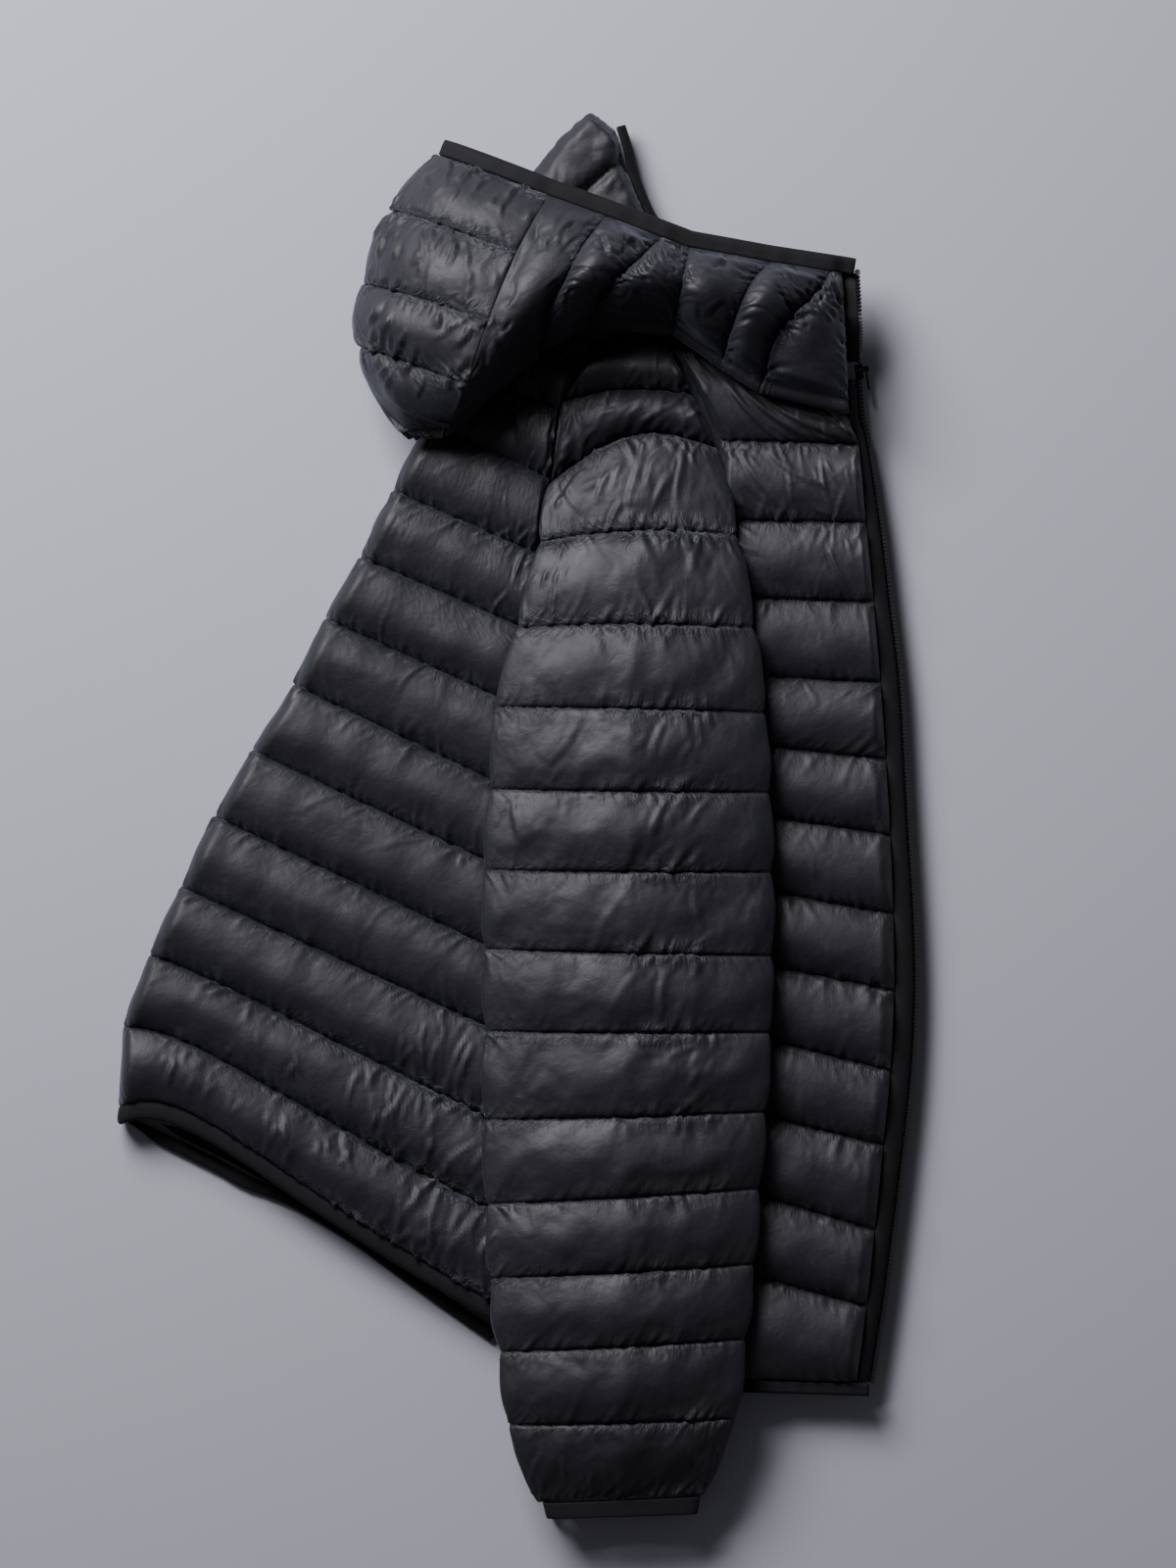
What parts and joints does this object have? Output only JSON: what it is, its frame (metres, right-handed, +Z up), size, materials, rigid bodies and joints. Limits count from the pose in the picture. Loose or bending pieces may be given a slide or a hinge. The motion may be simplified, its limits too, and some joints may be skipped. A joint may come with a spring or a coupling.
{
  "type": "hooded puffer jacket",
  "caption": "Light black hooded puffer jacket with crosswise quilting and a full front zip, folded in half down its back and laid flat with one sleeve on top.",
  "frame": {"origin": "on the surface that the jacket lies on, under the middle of its outline", "axes": "+Y towards the hood, +X towards the zip, +Z up from the surface"},
  "size_m": [0.4944, 0.8626, 0.1012],
  "materials": {
    "black_nylon": "satin",
    "black_elastic": "matte",
    "zip_tape": "matte",
    "zip_teeth": "satin",
    "dark_metal": "satin",
    "pale_metal": "satin"
  },
  "bodies": {
    "jacket": {"left_half": "black_nylon", "back_right": "black_nylon", "front_right": "black_nylon", "shoulder_right": "black_nylon", "sleeve_right": "black_nylon", "cuff_right": "black_elastic", "cuff_left": "black_elastic", "hem_binding_back": "black_elastic", "hem_binding_front": "black_elastic", "hem_binding_left": "black_elastic", "hood_side_right": "black_nylon", "hood_centre": "black_nylon", "hood_inner": "black_nylon", "hood_left": "black_nylon", "hood_binding_right": "black_elastic", "hood_binding_left": "black_elastic", "zip_tape_right": "zip_tape", "zip_tape_left": "zip_tape", "zip_chain": "zip_teeth", "zip_tape_open": "zip_tape", "zip_teeth_open": "zip_teeth", "zip_top_stop": "pale_metal", "zip_slider": "dark_metal"},
    "pull_tab": {"zip_pull": "dark_metal"}
  },
  "joints": [
    {"name": "pull_tab_hinge", "type": "hinge", "parent": "jacket", "child": "pull_tab", "pos_m": [0.21444, 0.27351, 0.0134], "axis": [0, 0, 1], "range_deg": [0, 165]}
  ]
}
